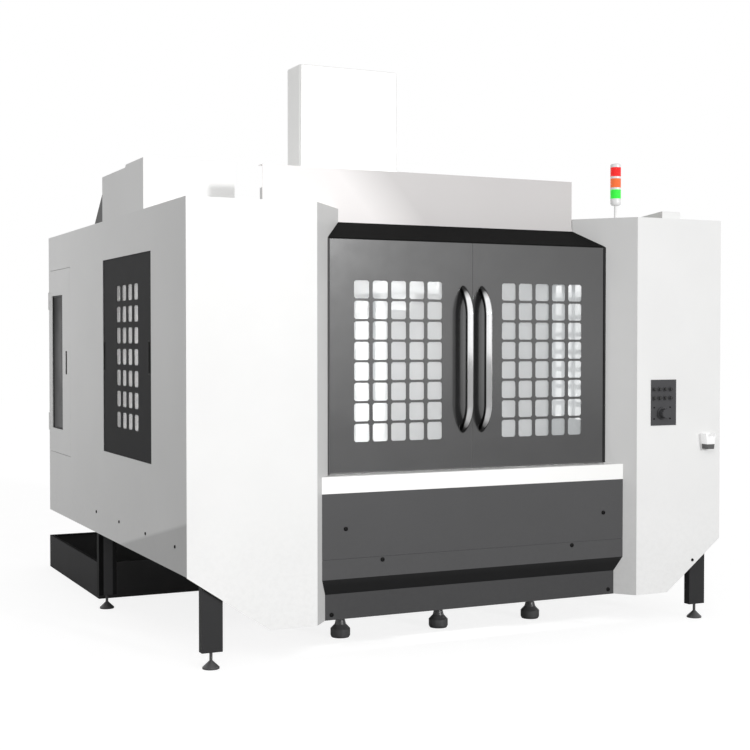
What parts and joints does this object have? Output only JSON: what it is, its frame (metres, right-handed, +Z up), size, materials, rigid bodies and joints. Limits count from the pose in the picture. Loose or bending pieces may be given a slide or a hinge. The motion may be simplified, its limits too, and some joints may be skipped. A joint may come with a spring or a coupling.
{
  "type": "vertical machining centre",
  "caption": "Enclosed vertical machining centre with sliding perforated doors, slotted table, spindle head on a column, tool magazine, signal tower and coolant tank.",
  "frame": {"origin": "on the floor under the middle of the machine's box", "axes": "+X to the operator's right, +Y from the doors to the back, +Z up"},
  "size_m": [3.312, 3.632, 3.42],
  "materials": {
    "amber_glow": "clear gloss",
    "black_sheet": "satin powder coat",
    "button_plastic": "gloss",
    "cast_light": "painted casting",
    "clear_pane": "clear, faintly grey",
    "dark_sheet": "satin powder coat",
    "foot_black": "satin black",
    "green_glow": "clear gloss",
    "ground_iron": "ground",
    "hard_steel": "ground and polished",
    "motor_black": "matt black",
    "panel_plastic": "fine matt",
    "polished_tube": "polished",
    "red_glow": "clear gloss",
    "tower_white": "gloss",
    "white_sheet": "smooth semi-gloss powder coat"
  },
  "bodies": {
    "root": {"front_left_panel": "white_sheet", "front_right_panel": "white_sheet", "left_wall": "white_sheet", "right_wall": "white_sheet", "rear_wall": "white_sheet", "sill": "white_sheet", "upper_apron": "dark_sheet", "lower_apron": "dark_sheet", "lintel": "black_sheet", "upper_guard": "white_sheet", "roof": "white_sheet", "magazine_cover": "white_sheet", "column_cover": "white_sheet", "door_track": "hard_steel", "inner_guards": "white_sheet", "coolant_tank": "black_sheet", "legs": "foot_black", "levelling_feet": "foot_black", "operator_plate": "panel_plastic", "pendant_holder": "white_sheet", "cabinet_hood": "white_sheet", "signal_tower": "tower_white", "green_lens": "green_glow", "amber_lens": "amber_glow", "red_lens": "red_glow", "electrical_cabinet": "white_sheet", "bed": "cast_light", "column": "cast_light", "linear_ways": "hard_steel", "root_motors": "motor_black", "magazine_bracket": "dark_sheet"},
    "left_door_slider": {"left_door": "dark_sheet", "left_door_glass": "clear_pane", "left_handle": "polished_tube"},
    "right_door_slider": {"right_door": "dark_sheet", "right_door_glass": "clear_pane", "right_handle": "polished_tube"},
    "left_side_slider": {"left_side_door": "black_sheet"},
    "right_side_slider": {"right_side_door": "black_sheet"},
    "access_leaf": {"access_door": "white_sheet"},
    "cabinet_leaf": {"cabinet_door": "white_sheet"},
    "saddle_slide": {"saddle": "cast_light", "x_motor": "motor_black"},
    "table_slide": {"table": "ground_iron"},
    "head_slide": {"spindle_head": "cast_light", "spindle_motor": "motor_black"},
    "spindle_rotor": {"spindle": "hard_steel"},
    "magazine_rotor": {"tool_magazine": "hard_steel"},
    "x_screw_rotor": {"x_screw": "hard_steel"},
    "y_screw_rotor": {"y_screw": "hard_steel"},
    "z_screw_rotor": {"z_screw": "hard_steel"},
    "wheel": {"handwheel": "panel_plastic"},
    "key_1": {"button_1": "button_plastic"},
    "key_2": {"button_2": "button_plastic"},
    "key_3": {"button_3": "button_plastic"},
    "key_4": {"button_4": "button_plastic"},
    "key_5": {"button_5": "button_plastic"},
    "key_6": {"button_6": "button_plastic"},
    "key_7": {"button_7": "button_plastic"},
    "key_8": {"button_8": "button_plastic"}
  },
  "joints": [
    {"name": "left_door_travel", "type": "slide", "parent": "root", "child": "left_door_slider", "axis": [-1, 0, 0], "range_m": [0, 0.69]},
    {"name": "right_door_travel", "type": "slide", "parent": "root", "child": "right_door_slider", "axis": [1, 0, 0], "range_m": [0, 0.69]},
    {"name": "left_side_door_travel", "type": "slide", "parent": "root", "child": "left_side_slider", "axis": [0, 1, 0], "range_m": [0, 0.82]},
    {"name": "right_side_door_travel", "type": "slide", "parent": "root", "child": "right_side_slider", "axis": [0, 1, 0], "range_m": [0, 0.82]},
    {"name": "access_door_hinge", "type": "hinge", "parent": "root", "child": "access_leaf", "pos_m": [-1.65, 1.3125, 1.5], "axis": [0, 0, -1], "range_deg": [0, 110]},
    {"name": "cabinet_door_hinge", "type": "hinge", "parent": "root", "child": "cabinet_leaf", "pos_m": [0.6945, 1.35, 1.475], "axis": [0, 0, 1], "range_deg": [-120, 0]},
    {"name": "saddle_travel", "type": "slide", "parent": "root", "child": "saddle_slide", "axis": [0, 1, 0], "range_m": [-0.35, 0.35]},
    {"name": "table_travel", "type": "slide", "parent": "saddle_slide", "child": "table_slide", "axis": [1, 0, 0], "range_m": [-0.6, 0.6]},
    {"name": "head_travel", "type": "slide", "parent": "root", "child": "head_slide", "axis": [0, 0, -1], "range_m": [0, 0.7]},
    {"name": "spindle_turn", "type": "hinge", "parent": "head_slide", "child": "spindle_rotor", "pos_m": [0.006, -0.786, 2], "axis": [0, 0, 1], "continuous": true},
    {"name": "magazine_turn", "type": "hinge", "parent": "root", "child": "magazine_rotor", "pos_m": [-1.364, -0.58, 2.2], "axis": [1, 0, 0], "continuous": true},
    {"name": "x_screw_turn", "type": "hinge", "parent": "saddle_slide", "child": "x_screw_rotor", "pos_m": [0.006, -0.786, 0.735], "axis": [1, 0, 0], "continuous": true},
    {"name": "y_screw_turn", "type": "hinge", "parent": "root", "child": "y_screw_rotor", "pos_m": [0.006, -0.766, 0.56], "axis": [0, 1, 0], "continuous": true},
    {"name": "z_screw_turn", "type": "hinge", "parent": "root", "child": "z_screw_rotor", "pos_m": [0.006, 0.054, 1.8], "axis": [0, 0, 1], "continuous": true},
    {"name": "wheel_turn", "type": "hinge", "parent": "root", "child": "wheel", "pos_m": [1.231, -1.766, 1.225], "axis": [0, 1, 0], "continuous": true},
    {"name": "button_1_press", "type": "slide", "parent": "root", "child": "key_1", "axis": [0, 1, 0], "range_m": [0, 0.004], "stiffness_N_per_m": 400},
    {"name": "button_2_press", "type": "slide", "parent": "root", "child": "key_2", "axis": [0, 1, 0], "range_m": [0, 0.004], "stiffness_N_per_m": 400},
    {"name": "button_3_press", "type": "slide", "parent": "root", "child": "key_3", "axis": [0, 1, 0], "range_m": [0, 0.004], "stiffness_N_per_m": 400},
    {"name": "button_4_press", "type": "slide", "parent": "root", "child": "key_4", "axis": [0, 1, 0], "range_m": [0, 0.004], "stiffness_N_per_m": 400},
    {"name": "button_5_press", "type": "slide", "parent": "root", "child": "key_5", "axis": [0, 1, 0], "range_m": [0, 0.004], "stiffness_N_per_m": 400},
    {"name": "button_6_press", "type": "slide", "parent": "root", "child": "key_6", "axis": [0, 1, 0], "range_m": [0, 0.004], "stiffness_N_per_m": 400},
    {"name": "button_7_press", "type": "slide", "parent": "root", "child": "key_7", "axis": [0, 1, 0], "range_m": [0, 0.004], "stiffness_N_per_m": 400},
    {"name": "button_8_press", "type": "slide", "parent": "root", "child": "key_8", "axis": [0, 1, 0], "range_m": [0, 0.004], "stiffness_N_per_m": 400}
  ],
  "couplings": [
    {"joint": "x_screw_turn", "follows": "table_travel", "rad_per_m": 392.7},
    {"joint": "y_screw_turn", "follows": "saddle_travel", "rad_per_m": 392.7},
    {"joint": "z_screw_turn", "follows": "head_travel", "rad_per_m": -392.7}
  ]
}
